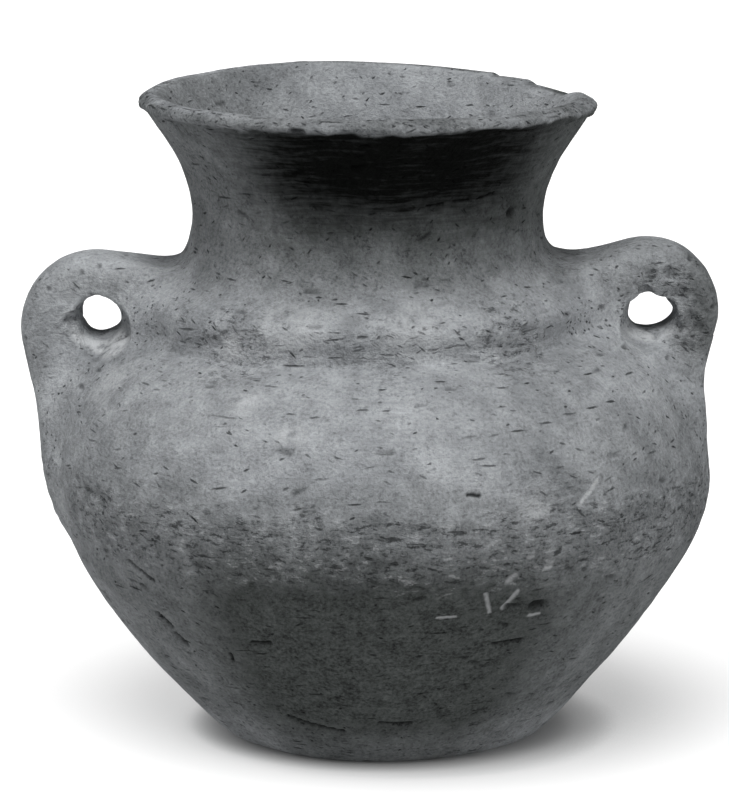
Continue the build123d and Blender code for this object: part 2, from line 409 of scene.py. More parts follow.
# Pale places, rubbed clay and, on the ridge's top, painted highlight: turn and height as above, then radius
# in millimetres and strength
RUBBED_AND_LIT = (
    (-35.0, 99.4, 6.0, 0.5),
    (-27.6, 89.3, 6.0, 0.6),
    (-16.0, 83.5, 5.0, 0.5),
    (-78.0, 94.0, 5.0, 1.0),
    (-66.0, 88.0, 10.0, 0.3),
    (80.0, 94.5, 5.5, 0.3),
    (12.0, 104.0, 12.0, 0.3),
    (-20.0, 104.0, 12.0, 0.4),
    (27.0, 67.5, 7.0, 0.35),
)

# Places where the clay is torn and flaked: centre, radius and depth, in millimetres
TORN = (
    ((67.0, -8.0, 106.0), 9.0, 1.1),  # top of the right lug
    ((72.0, -8.0, 97.0), 8.0, 1.0),  # right of the right eye
    ((-70.0, -8.0, 98.0), 6.0, 0.6),  # rim of the left eye
    ((30.0, -40.0, 100.0), 14.0, 0.6),  # face of the ridge, right
    ((0.0, -53.0, 100.0), 12.0, 0.3),  # face of the ridge, middle
    ((-32.0, -44.0, 99.5), 14.0, 0.55),  # face of the ridge, left
    ((38.0, -66.0, 62.0), 20.0, 0.3),  # rough band, right
)


FLATTENED = 0.8  # share of a place's distance out of the wall that is left out of its distance to a mark


def on_wall(turn, height, shape):
    """Place on the outside of the wall at a turn in degrees and a height in millimetres, and three
    directions there: round the wall, up it and out of it."""
    lines = body_line(shape, MM), neck_line(shape, MM)
    high = height * MM > shape.ridge[1]
    line = lines[high][np.argsort(lines[high][:, 1])]
    turn, height = radians(turn), height * MM
    radius = np.interp([height - MM, height, height + MM], line[:, 1], line[:, 0])
    centre = np.array([shape.neck_shift * high + radius[1] * sin(turn), -radius[1] * cos(turn), height])
    lean = np.array([radius[2] - radius[0], 2 * MM]) / np.hypot(radius[2] - radius[0], 2 * MM)
    around = np.array([cos(turn), sin(turn), 0])
    up = np.array([lean[0] * sin(turn), -lean[0] * cos(turn), lean[1]])
    return centre, around, up, np.cross(around, up)


def rods(marks, shape):
    """Each mark as a rod laid on the wall: centre, unit directions along it and out of the wall, half
    length, half width and depth, in metres."""
    for turn, height, long, width, tilt, depth in marks:
        centre, around, up, out = on_wall(turn, height, shape)
        along = cos(radians(tilt)) * around + sin(radians(tilt)) * up
        yield centre, along, out, long * MM / 2, width * MM, depth * MM


def mark_depth(place, marks, shape):
    """How deep each place lies in the marks, in metres. A mark's floor is round across its rod, and a place's
    distance out of the wall counts little, because the wall stands off its plain line."""
    deepest = np.zeros(place.shape[:-1])
    for centre, along, out, half, width, depth in rods(marks, shape):
        lowered = place - FLATTENED * ((place - centre) @ out)[..., None] * out
        apart = near_rod(lowered, centre, along, half) / width
        deepest = np.maximum(deepest, depth * np.clip(1 - apart**2, 0, 1))
    return deepest


# Smoke and painted shade on the lower wall: how much of it comes on, from one height down to a lower one, in
# millimetres
SMOKE_AND_SHADE_BELOW = ((0.36, 76, 68), (0.12, 66, 64), (0.2, 63.5, 54), (0.32, 58, 42))


def tones(place, lining, free, rubbed_and_lit, shape):
    """Masks for the clay's colours, from 0 to 1, with edges made ragged by noise. Smoke and painted shade:
    below the belly, less at its sides, on the neck under the lip, in patches on the lip, on the lugs, towards
    the sides, on the ridge's face and inside the mouth. Painted shade under the lip: near black at the front.
    Crumpled clay: round the belly and where the clay is torn. Cracks: on the ridge and the lip. Rubbed clay
    and painted highlight: on the listed places, the eyes' lower sides and the top of the left lug. Free: on a
    lug, clear of the wall. Heights and radii are in millimetres here."""
    east, north, up = np.moveaxis(place / MM, -1, 0)
    radius = np.maximum(np.hypot(east, north), 1)
    side = east / radius
    warped = up + 3 * noise(place, 15 * MM, 31) + 1.6 * noise(place, 5 * MM, 32)

    # Smoke and painted shade below the belly, where the light from above doesn't reach, but less at the sides
    # and the foot, painted lighter there
    below = sum(amount * (1 - ease(warped, low, high)) for amount, high, low in SMOKE_AND_SHADE_BELOW)
    lit_sides_and_foot = 0.42 * ease(-side, 0.35, 0.8) + 0.34 * ease(side, 0.35, 0.8) + 0.3 * (1 - ease(up, 2, 16))
    below = below * (1 - lit_sides_and_foot * (1 - ease(up, 52, 66))) * (1 - 0.45 * ease(-side, 0.82, 0.98))

    # Smoke in patches on the lip, less on its top at the left as a painted highlight, and painted shade on
    # the neck up to it, under the lip's flare, less on the left
    brim = 1 - ease(up + 0.8 * noise(place, 3 * MM, 33), 147.6, 149.2)
    patches = 0.5 + 0.5 * noise(place, 6 * MM, 38)
    lip = (1 - brim) * (0.3 + 0.3 * patches) * (1 - 0.75 * ease(-side, 0.35, 0.7) * ease(up, 150.2, 151))
    neck = (0.66 * ease(warped, 101, 117) + 0.18 * ease(warped, 116, 124)) * (1 - 0.3 * ease(-side, 0.3, 0.8))
    neck = np.maximum(neck * brim * (1 - free * ease(np.abs(east), 44, 54)), lip)

    # Painted shade on the outer side of each lug and in the hollow over the left eye, and darker on the right
    # web
    lug_shade = 0.7 * ease(east, 62, 76) * ease(warped, 76, 96) + 0.25 * ease(-east, 71, 80)
    eye_hood_shade = between(-east, 50, 60, 72, 78) * between(up, 102, 105, 109, 112)
    lug_shade = np.maximum(lug_shade, 0.26 * free * eye_hood_shade)
    lug_shade = np.maximum(lug_shade, 0.36 * free * ease(east, 40, 50) * ease(up, 95, 106))

    # Weak painted shade towards the sides and on the shoulder, and on the ridge's face
    side_shade = 0.24 * ease(np.abs(east), 15, 60) * (1 - ease(warped, 70, 92))
    side_shade = side_shade + 0.1 * between(warped, 97.4, 98.6, 100.5, 102.5) * (radius < 57)
    flank_shade = 0.16 * ease(east, -5, 40) + 0.16 * ease(-east, 15, 50) * ease(up, 76, 86)
    side_shade = side_shade + flank_shade * (1 - ease(up, 95, 99)) * (1 - 0.8 * free)
    smoke_and_shade = np.maximum.reduce([below, neck, lug_shade, side_shade]) * (1 - lining)
    # Inside the mouth: painted shade, most on the left wall
    smoke_and_shade = smoke_and_shade + lining * (0.06 + 0.44 * ease(-east, 5, 45) + 0.2 * ease(east, 15, 45))

    # Painted shade under the lip, near black and strongest towards the front: the lip's shadow on the neck
    facing = (east * sin(LIP_SHADE_TURN) - north * cos(LIP_SHADE_TURN)) / radius
    low = up + 3 * noise(place, 11 * MM, 37)
    lip_shade = ease(low, 116, 138) * ease(facing, 0.42, 0.97) * brim * (1 - lining)

    # Crumpled round the belly, where the clay is torn and on the lip; cracked on the ridge and the lip
    torn = up + 2.6 * noise(place, 7 * MM, 34) + 1.5 * noise(place, 2.5 * MM, 35)
    crumpled = between(torn, 45, 55, 64.5, 69) * (1 - 0.6 * ease(-side, 0.82, 0.98))
    for centre, reach, depth in TORN:
        apart = np.linalg.norm(place - np.array(centre) * MM, axis=-1) / MM
        crumpled = np.maximum(crumpled, min(1, 1.5 * depth) * (1 - ease(apart, 0.4 * reach, 1.1 * reach)))
    cracked = between(up, 96.5, 98.5, 102.5, 105.5) * (radius < 60)
    cracked = np.maximum(cracked * (0.6 + 0.4 * noise(place, 9 * MM, 36)), (1 - brim) * (1 - lining))
    crumpled = np.maximum(crumpled, 0.7 * (1 - brim) * (1 - lining) * patches)

    # A faint painted highlight on the top of the left lug, then the pale places, rubbed clay and painted
    # highlight
    rubbed_and_lit = np.maximum(rubbed_and_lit, 0.05 * free * ease(-east, 50, 60) * ease(up, 99, 108))
    for turn, height, reach, strength in RUBBED_AND_LIT:
        apart = np.linalg.norm(place - on_wall(turn, height, shape)[0], axis=-1) / MM
        rubbed_and_lit = np.maximum(rubbed_and_lit, strength * (1 - ease(apart, 0.2 * reach, reach)))
    masks = {"smoke_and_shade": smoke_and_shade, "lip_shade": lip_shade, "crumpled": crumpled, "cracked": cracked}
    masks |= {"rubbed_and_lit": rubbed_and_lit, "free": free}
    return {name: np.broadcast_to(mask, up.shape) for name, mask in masks.items()}


def handwork(place, away, shape, work):
    """Height of the clay over the plain form at each place, and how far it lies in a straw hollow. The
    height is the stance of the sides, broad sway, finger lumps, level smoothing strokes and, round the
    belly and where the clay is torn, crumples, less the straw hollows and the marks."""
    level = place * np.array([1.0, 1.0, 3.2])
    height = work.sway * noise(place, work.sway_width, 1) + stance(place, away)
    height += work.lump * noise(place, work.lump_width, 2)
    height += work.stroke * noise(level, work.stroke_width, 3)
    band = between(place[..., 2], 0.044, 0.054, 0.066, 0.072)
    crumple = noise(place * np.array([1.0, 1.0, 1.4]), work.rough_width, 4)
    crumple += 0.6 * noise(place, work.rough_width / 2, 6)
    height += work.rough * (0.15 + band) * crumple * np.clip(0.6 + 0.9 * noise(place, 15 * MM, 5), 0.1, 1)
    for centre, radius, depth in TORN:
        apart = np.linalg.norm(place - np.array(centre) * MM, axis=-1)
        torn = 1 - ease(apart, 0.3 * radius * MM, radius * MM)
        height += depth * MM * torn * (noise(place, 2.6 * MM, 7) - 0.4)
    straw = straw_hollows(place, work.straw_length / 2, work.straw_width, 0.4, 20)
    height -= np.maximum(work.straw_depth * straw, mark_depth(place, DARK_MARKS, shape))
    return height - mark_depth(place, PALE_MARKS, shape), straw


# ---------------------------------------------------------------- meshes


def make_piece(context, name, node, points, faces, masks):
    """Puts a mesh into the scene as the piece that stands for a node of the frame. Masks for the
    clay's colours go with its points."""
    mesh = bpy.data.meshes.new(name)
    mesh.from_pydata(points, [], faces)
    mesh.validate()
    for mask, values in masks.items():
        layer = mesh.attributes.new(mask, "FLOAT", "POINT")
        layer.data.foreach_set("value", values.ravel().astype(np.float32))
    mesh.shade_smooth()
    mesh.set_sharp_from_angle(angle=SHARP)
    mesh.materials.append(bpy.data.materials[CLAY])
    piece = bpy.data.objects.new(name, mesh)
    context.collection.objects.link(piece)
    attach(piece, "root")
    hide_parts(node)


def lathe(section, push, shift, turns):
    """Places and push directions of a section turned about the upright axis at X = shift, as grids of turns
    by section points: (shift + r cos t, r sin t, z)."""
    turn = np.linspace(0, 2 * pi, turns, endpoint=False)[:, None]
    round_x, round_y = np.cos(turn), np.sin(turn)
    radius, height = section.T
    place = np.stack([shift + radius * round_x, radius * round_y, height + 0 * turn], axis=-1)
    away = np.stack([push[:, 0] * round_x, push[:, 0] * round_y, push[:, 1] + 0 * turn], axis=-1)
    return place, away


def ring_faces(turns, count):
    """Four-cornered faces of a grid that closes on itself both round the axis and round its section."""
    turn, point = np.meshgrid(np.arange(turns), np.arange(count), indexing="ij")
    next_turn, next_point = (turn + 1) % turns, (point + 1) % count
    corners = ((turn, point), (next_turn, point), (next_turn, next_point), (turn, next_point))
    return np.stack([a * count + b for a, b in corners], axis=-1).reshape(-1, 4)


# How far the lip stands above its level, and the sides of the body stand off their circle: turn from the
# front to the right in degrees, or height, and the offset, in millimetres
RIM_LEVELS = (
    (-165, 0.4), (-135, -0.1), (-100, -0.7), (-50, 0.1), (0, 0.1), (50, -0.2), (100, -2.1), (125, -1.4),
    (150, -1.3), (180, -0.1),
)
LEFT_STANCE = (
    (0, 0.0), (8, -0.3), (16, 0.2), (33, 0.2), (44, -1.3), (53, -2.6), (62, -1.5), (72, -0.8), (82, 0.0),
    (118, 0.0), (127, -0.6), (135, 0.0),
)
RIGHT_STANCE = (
    (0, 1.2), (8, 0.8), (15, 0.7), (25, 1.6), (36, 1.2), (48, 0.5), (60, 0.0), (72, -0.8), (82, -1.1),
    (92, 0.0), (122, 0.0), (131, 0.7), (139, 1.3), (144, 1.0), (149, 0.0),
)


def rim_sway(place, shape):
    """Raises and lowers the mouth as its levels say, from nothing at the waist to all at the lip."""
    share = ease(place[..., 2], shape.waist[1], shape.lip[1])
    turn = turn_from_front(place, shape)
    turns, levels = np.array(RIM_LEVELS).T
    around = sum(np.interp(turn + step, turns, levels, period=360) for step in (-12, -4, 4, 12)) / 4
    place[..., 2] += share * around * MM
    return place


def stance(place, away):
    """How far the body's side walls stand off their circle, along the wall's outward direction."""
    side = place[..., 0] / np.maximum(np.hypot(place[..., 0], place[..., 1]), MM)
    total = 0
    for sign, offsets in ((-1, LEFT_STANCE), (1, RIGHT_STANCE)):
        heights, levels = np.array(offsets).T * MM
        smooth = sum(np.interp(place[..., 2] + step * MM, heights, levels) for step in (-4, 0, 4)) / 3
        total = total + smooth * ease(sign * side, 0.15, 1) * np.clip(sign * away[..., 0], 0, 1)
    return total


def wall(context, name, node, outer, push, inner, shift, shape, work):
    """A course of wall: its outer line and its inner line, joined at both ends, turned about its axis."""
    section = np.concatenate([outer, inner[::-1]])
    place, away = lathe(section, np.concatenate([push, -outward(inner)[::-1]]), shift, TURNS)
    finish(context, name, node, place, away, np.arange(len(section)) >= len(outer), shape, work)


def finish(context, name, node, place, away, lining, shape, work):
    """Pushes the turned section of a ring of clay in and out by handwork, and makes it a piece."""
    height, hollow_shade = handwork(place, away, shape, work)
    place = rim_sway(place + away * height[..., None], shape)
    masks = {"hollow_shade": hollow_shade, **tones(place, lining, 0, 0, shape)}
    make_piece(context, name, node, place.reshape(-1, 3), ring_faces(*place.shape[:2]).tolist(), masks)


class JAR_OT_walls(bpy.types.Operator):
    """Build the two courses of the body's wall"""

    bl_idname = "jar.walls"
    bl_label = "Body Walls"

    def execute(self, context):
        shape, work = context.scene.jar_shape, context.scene.jar_handwork
        line = body_line(shape, BODY_STEP)
        push = outward(line)
        inner = line - push * shape.body_thickness
        joints = [at_height(line, shape.slab_thickness), at_height(line, shape.belly_joint), len(line) - 1]
        for name, node, low, high in (
            ("lower_wall_clay", "lower_wall", joints[0], joints[1]),
            ("upper_wall_clay", "upper_wall", joints[1], joints[2]),
        ):
            part = slice(low, high + 1)
            lining = evenly(inner[part], 3 * MM)
            wall(context, name, node, line[part], push[part], lining, 0, shape, work)
        return {"FINISHED"}


class JAR_OT_neck(bpy.types.Operator):
    """Build the collar and the neck"""

    bl_idname = "jar.neck"
    bl_label = "Collar and Neck"

    def execute(self, context):
        shape, work = context.scene.jar_shape, context.scene.jar_handwork
        line = neck_line(shape, NECK_STEP)
        push = outward(line)
        inner = neck_lining(shape, line)
        joint = at_height(line, shape.neck_joint)
        self.collar(context, shape, work, line[: joint + 1], inner[joint - 8 : joint + 1])
        part = slice(joint, lip_joint(shape, line) + 1)
        lining = evenly(inner[part], 0.9 * MM)
        shift = shape.neck_shift
        wall(context, "neck_wall_clay", "neck_wall", line[part], push[part], lining, shift, shape, work)
        return {"FINISHED"}

    def collar(self, context, shape, work, line, upper_lining):
        """The collar's section is a cove and the collar's line. The cove is a parabola that leaves the
        shoulder level and ends upright at the ridge: out = c (1 - s)^2 from the ridge, up = s^2 of the way
        from the shoulder to the ridge, so its foot follows the shoulder though the neck stands off the
        body's axis."""
        share = np.linspace(0, 1, 12)[:-1]
        out = shape.ridge[0] + shape.ridge_cove * (1 - share) ** 2
        cove = np.stack([out, line[0, 1] + 0 * share], axis=1)
        outer = np.concatenate([cove, line])
        bore = [shape.opening[0] - 3 * MM, shape.opening[1] - shape.body_thickness]
        inner = evenly(np.concatenate([[bore], upper_lining]), 2 * MM)
        section = np.concatenate([outer, inner[::-1]])
        push = np.concatenate([outward(outer), -outward(inner)[::-1]])
        place, away = lathe(section, push, shape.neck_shift, TURNS)
        body = body_line(shape, MM)
        shoulder = body[np.argmax(body[:, 0]) :][::-1]
        foot = np.hypot(place[:, : len(cove), 0], place[:, : len(cove), 1])
        ground = np.interp(foot, shoulder[:, 0], shoulder[:, 1]) - 0.3 * MM
        place[:, : len(cove), 2] = ground + share**2 * (line[0, 1] - ground)
        lining = np.arange(len(section)) >= len(outer)
        finish(context, "neck_collar_clay", "neck_collar", place, away, lining, shape, work)


# Section of the rolled lip, from its lower edge over the top to the inner wall: outwards and up from the
# lip's corner, in millimetres
LIP_SECTION = (
    (-0.8, -3.1), (-0.1, -2.4), (-0.1, -1.6), (-0.9, -0.7), (-2.6, 0.1), (-4.4, 0.0), (-5.9, -0.6),
    (-6.8, -1.5),
)


class JAR_OT_lip(bpy.types.Operator):
    """Build the rolled lip"""

    bl_idname = "jar.lip"
    bl_label = "Rolled Lip"

    def execute(self, context):
        shape, work = context.scene.jar_shape, context.scene.jar_handwork
        line = neck_line(shape, NECK_STEP)
        start = lip_joint(shape, line)
        step_back = at_height(line, shape.lip[1] - shape.coil_depth)
        inner = neck_lining(shape, line)[start - 1 : start + 1]
        roll = [line[step_back], *(np.array(shape.lip) + np.array(LIP_SECTION) * MM), inner[1]]
        first, last = line[step_back] - line[step_back - 1], inner[0] - inner[1]
        end = spline(roll, first / np.linalg.norm(first), last / np.linalg.norm(last), 0.45 * MM)
        section = np.concatenate([line[start:step_back], end])
        closed = np.concatenate([section[-1:], section, section[:1]])
        along = closed[2:] - closed[:-2]
        push = np.stack([along[:, 1], -along[:, 0]], axis=1) / np.linalg.norm(along, axis=1)[:, None]
        push[0], push[-1] = outward(line)[start], -outward(line)[start]
        place, away = lathe(section, push, shape.neck_shift, TURNS)

        below = shape.lip[1] - section[:, 1]
        edge = between(below, 0.6 * MM, 2.2 * MM, 3 * MM, 4.2 * MM)
        edge = edge * (section[:, 0] > shape.lip[0] - 4 * MM)
        ragged = 0.3 * noise(place[:, :1], 7 * MM, 8) + 0.35 * noise(place[:, :1], 2.2 * MM, 12)
        place[..., 2] += edge * MM * ragged
        crumbs = 0.3 * noise(place, 2.4 * MM, 9) + 0.25 * noise(place, 5 * MM, 10)
        place = place + away * (crumbs * edge * MM)[..., None]
        rise = ease(place[..., 2], shape.lip[1] - 4 * MM, shape.lip[1])
        turn = turn_from_front(place, shape)
        for far_end, drop in RIM_BREAKS:
            place[..., 2] -= drop * MM * rise * between(turn, 100, 108, far_end - 1, far_end + 1)
        lining = ease(shape.lip[0] - section[:, 0], 3.6 * MM, 5.2 * MM)
        finish(context, "lip_roll_clay", "lip_roll", place, away, lining, shape, work)
        return {"FINISHED"}


class JAR_OT_floor_slab(bpy.types.Operator):
    """Build the floor slab"""

    bl_idname = "jar.floor_slab"
    bl_label = "Floor Slab"

    def execute(self, context):
        shape, work = context.scene.jar_shape, context.scene.jar_handwork
        line = body_line(shape, BODY_STEP)
        side = line[: at_height(line, shape.slab_thickness) + 1]
        under = evenly(np.array([[0.0, 0.0], [shape.foot[0] - 1.6 * MM, 0.0]]), 1.2 * MM)
        top = evenly(np.array([side[-1], [0.0, side[-1][1]]]), 3 * MM)[1:]
        section = np.concatenate([under, side, top])
        down, up = np.tile([0, -1.0], (len(under), 1)), np.tile([0, 1.0], (len(top), 1))
        push = np.concatenate([down, outward(side), up])
        place, away = lathe(section[1:-1], push[1:-1], 0, TURNS)
        height, hollow_shade = handwork(place, away, shape, work)
        height = np.where(place[..., 2] < 0.5 * MM, np.minimum(height, 0), height)
        place = place + away * height[..., None]
        place[..., 2] = np.maximum(place[..., 2], 0)
        count = len(section) - 2
        rows = TURNS * count
        points = np.concatenate([place.reshape(-1, 3), [[0, 0, 0], [0, 0, section[-1, 1]]]])
        faces = ring_faces(TURNS, count).reshape(TURNS, count, 4)[:, :-1].reshape(-1, 4).tolist()
        first = np.arange(TURNS) * count
        last = first + count - 1
        faces += np.stack([np.full(TURNS, rows), np.roll(first, -1), first], axis=1).tolist()
        faces += np.stack([np.full(TURNS, rows + 1), last, np.roll(last, -1)], axis=1).tolist()
        hollow_shade = np.append(hollow_shade.ravel(), [0, 0])
        masks = {"hollow_shade": hollow_shade, **tones(points, 0, 0, 0, shape)}
        make_piece(context, "base_slab_clay", "base_slab", points, faces, masks)
        return {"FINISHED"}


# ---------------------------------------------------------------- lugs

LUG_PITCH = 0.4 * MM  # of the lattice that the skin is found on
LUG_INNER = 30 * MM  # from the jar's axis to the lattice
LUG_TOP = 128 * MM  # height of the lattice's top
WEB_RISE = (98 * MM, 109 * MM)  # heights between which the web's reach over the wall takes over
FACE_RISE = (67 * MM, 84 * MM)  # heights between which the faces' further reach comes in


def blend_low(one, other, reach):
    """The lower of two distances, rounded over where they differ by less than reach: clay drawn from one to
    the other."""
    part = np.clip(0.5 + 0.5 * (other - one) / reach, 0, 1)
    return other + (one - other) * part - reach * part * (1 - part)


def blend_high(one, other, reach):
    """The higher of two distances, rounded over in the same way."""
    return -blend_low(-one, -other, reach)


def round_bar(place, centre, radius, end, end_radius):
    """Distance in the plane to the shape between two circles and the lines that touch both."""
    centre, end = np.array(centre), np.array(end)
    reach = np.linalg.norm(end - centre)
    along = (end - centre) / reach
    lean = (radius - end_radius) / reach
    fall = np.sqrt(1 - lean * lean)
    apart = place - centre
    forward = apart @ along
    sideways = np.abs(apart @ np.array([-along[1], along[0]]))
    side = sideways * fall + forward * lean - radius
    slide = forward * fall - sideways * lean
    from_start = np.hypot(forward, sideways) - radius
    from_end = np.hypot(forward - reach, sideways) - end_radius
    return np.where(slide < 0, from_start, np.where(slide > reach * fall, from_end, side))


class Outline:
    """Distance to a closed outline in the half plane of radius and height, looked up in a table."""

    pitch = 0.5 * MM
    low = np.array([-2 * MM, -6 * MM])
    count = (200, 340)

    def __init__(self, line):
        """The table holds, at each point of a lattice, the distance to the nearest stretch of the outline,
        negative inside, where a level line outwards crosses the outline an odd number of times."""
        radius, height = np.meshgrid(*[np.arange(n) * self.pitch for n in self.count], indexing="ij")
        place = np.stack([radius, height], axis=-1).reshape(-1, 2) + self.low
        start, end = line, np.roll(line, -1, axis=0)
        nearest = np.full(len(place), np.inf)
        inside = np.zeros(len(place), bool)
        for one, other in zip(start, end):
            along = other - one
            part = np.clip((place - one) @ along / max(along @ along, 1e-18), 0, 1)
            nearest = np.minimum(nearest, np.linalg.norm(place - one - part[:, None] * along, axis=1))
            spans = (one[1] > place[:, 1]) != (other[1] > place[:, 1])
            rise = other[1] - one[1] if other[1] != one[1] else 1.0
            inside ^= spans & (place[:, 0] < one[0] + (place[:, 1] - one[1]) / rise * along[0])
        self.table = np.where(inside, -nearest, nearest).reshape(self.count)

    def __call__(self, radius, height):
        """Distance at places between the lattice's points, straight between the four nearest."""
        slot = np.stack([radius - self.low[0], height - self.low[1]], axis=-1) / self.pitch
        slot = np.clip(slot, 0, np.array(self.count) - 1.001)
        base = slot.astype(int)
        part = slot - base
        total = 0
        for step, weight in cell_corners(part):
            total = total + weight * self.table[base[..., 0] + step[0], base[..., 1] + step[1]]
        return total


class LugSolid:
    """The clay of one lug as a distance field: an ear, root and web in front view, given thickness,
    rounded, pierced, and drawn out over the body and the neck."""

    def __init__(self, lug, shape, body, neck):
        self.lug, self.shape, self.body, self.neck = lug, shape, body, neck

    def pot(self, place):
        """Distance to the body and neck together, taken as solid."""
        across = place[..., 0] - self.shape.neck_shift
        body = self.body(np.hypot(place[..., 0], place[..., 1]), place[..., 2])
        neck = self.neck(np.hypot(across, place[..., 1]), place[..., 2])
        return blend_low(body, neck, 2.5 * MM)

    def front(self, place):
        """Places in front view: out from the jar's axis to the lug's side, and up."""
        return np.stack([self.lug.side * place[..., 0], place[..., 2]], axis=-1)

    def from_eye(self, place):
        """Way from the middle of the eye in front view, in the eye's radii."""
        return (self.front(place) - np.array(self.lug.eye)) / np.array(self.lug.eye_radii)

    def sill(self, place):
        """Mask of the painted highlight on the lower side of the eye's front bevel, where it faces the light.
        """
        apart = self.from_eye(place)
        away = np.hypot(apart[..., 0], apart[..., 1])
        ring = between(away, 1.02, 1.14, 1.4, 1.65)
        return self.lug.sill * ring * ease(-apart[..., 1] / away, 0.1, 0.7) * (place[..., 1] < 0)

    def __call__(self, place):
        lug = self.lug
        front = self.front(place)
        plan = np.minimum(
            round_bar(front, lug.ear, lug.ear_radius, lug.root, lug.root_radius),
            round_bar(front, lug.ear, lug.ear_radius, lug.web, lug.web_radius),
        )

        # Thickness: each face stands out further towards the wall and towards the root
        spread = lug.spread * ease(lug.ear[0] + 4 * MM - front[..., 0], 0, 24 * MM)
        spread = spread + lug.spread * ease(lug.ear[1] - front[..., 1], 8 * MM, 36 * MM)
        faces = np.abs(place[..., 1]) - lug.half_thickness - spread
        ear = blend_high(plan, faces, lug.rounding)

        # The eye: a little uneven, widened at both faces, most at its lower side, and broken out at one place
        apart = self.from_eye(place)
        turn = np.arctan2(apart[..., 1], apart[..., 0])
        uneven = 1 + 0.03 * np.sin(2 * turn + 1 + lug.side) + 0.04 * np.sin(3 * turn + 2 * lug.side)
        depth = np.abs(place[..., 1])
        sill = 1.6 - 1.4 * np.sin(turn)
        slope = np.clip((depth - lug.half_thickness) / (4 * MM) + 1, 0, 1.5)
        widen = lug.bevel * sill * slope + 0.25 * MM * noise(place, 2.4 * MM, 11)
        eye = lug.eye_radii[0] * (uneven - np.hypot(apart[..., 0], apart[..., 1])) + widen
        before = place[..., 1] + lug.half_thickness + MM
        chip = np.stack([front[..., 0] - lug.chip[0], before, front[..., 1] - lug.chip[1]])
        broken = lug.chip_radius - np.linalg.norm(chip, axis=0) + 0.5 * MM * noise(place, 2.2 * MM, 12)

        # The clay is drawn out over the wall, and ends just under its surface
        pot = self.pot(place)
        high = ease(place[..., 2], *WEB_RISE)
        reach = lug.blend + (lug.web_blend - lug.blend) * high
        drawn = (ease(place[..., 2], *FACE_RISE) - high) * ease(depth, 4 * MM, 15 * MM)
        reach = reach + lug.face_blend * drawn
        sunk = (0.04 + 0.12 * ease(ear / reach, 0.75, 1)) * MM
        clay = blend_low(pot + sunk, ear, reach)
        clay = blend_high(clay, np.minimum(blend_high(eye, broken, MM), pot - MM), 0.5 * MM)
        skirt = ear - reach - 0.5 * MM
        return np.maximum(np.maximum(clay, skirt), -pot - 2 * MM)


def skin(solid, low, high, pitch):
    """Skin of a distance field: one point in each cell of a lattice that the skin passes through, at the
    mean of where the cell's edges cross it, and one four-cornered face round each such edge. The points are
    then slid along the field's slope until the distance is nothing."""
    axes = [np.arange(low[axis], high[axis], pitch) for axis in range(3)]
    values = solid(np.stack(np.meshgrid(*axes, indexing="ij"), axis=-1))
    cells = tuple(n - 1 for n in values.shape)
    total, crossings = np.zeros(cells + (3,)), np.zeros(cells)
    for axis in range(3):
        ahead = np.eye(3, dtype=int)[axis]
        for step in np.ndindex(*(2 - ahead)):
            here = values[tuple(slice(s, s + n) for s, n in zip(step, cells))]
            there = values[tuple(slice(s, s + n) for s, n in zip(np.array(step) + ahead, cells))]
            crossed = (here < 0) != (there < 0)
            part = np.where(crossed, here / np.where(crossed, here - there, 1), 0)
            total += crossed[..., None] * (np.array(step) + part[..., None] * ahead)
            crossings += crossed
    used = crossings > 0
    number = np.full(cells, -1)
    number[used] = np.arange(used.sum())
    across = total[used] / crossings[used][:, None]
    points = (np.argwhere(used) + across) * pitch + np.array([a[0] for a in axes])
    faces = []
    for axis in range(3):
        one, two = (axis + 1) % 3, (axis + 2) % 3
        ahead = np.eye(3, dtype=int)[axis]
        here = values[tuple(slice(0, n - a) for n, a in zip(values.shape, ahead))]
        there = values[tuple(slice(a, n) for n, a in zip(values.shape, ahead))]
        edge = np.argwhere((here < 0) != (there < 0))
        edge = edge[(edge[:, one] > 0) & (edge[:, two] > 0)]
        edge = edge[(edge[:, one] < cells[one]) & (edge[:, two] < cells[two])]
        back_one, back_two = np.eye(3, dtype=int)[one], np.eye(3, dtype=int)[two]
        loop = [edge - back_one - back_two, edge - back_two, edge, edge - back_one]
        quad = np.stack([number[tuple(cell.T)] for cell in loop], axis=1)
        inward = here[tuple(edge.T)] > 0
        quad[inward] = quad[inward][:, ::-1]
        faces.append(quad)
    points, slope = settle(solid, points)
    return points, np.concatenate(faces), slope


def slope_of(field, points):
    """Slope of a distance field at each point: its difference over a short step along each axis."""
    step = 0.05 * MM
    ahead = [field(points + step * side) - field(points - step * side) for side in np.eye(3)]
    return np.stack(ahead, axis=-1) / (2 * step)


def settle(solid, points):
    """Slides points to where the distance is nothing, and gives the outward direction there."""
    for _ in range(4):
        slope = slope_of(solid, points)
        steep = np.maximum(np.sum(slope**2, axis=-1), 0.05)
        move = -(solid(points) / steep)[:, None] * slope
        points = points + np.clip(move, -0.2 * MM, 0.2 * MM)
    return points, slope / np.maximum(np.linalg.norm(slope, axis=-1), 1e-9)[:, None]


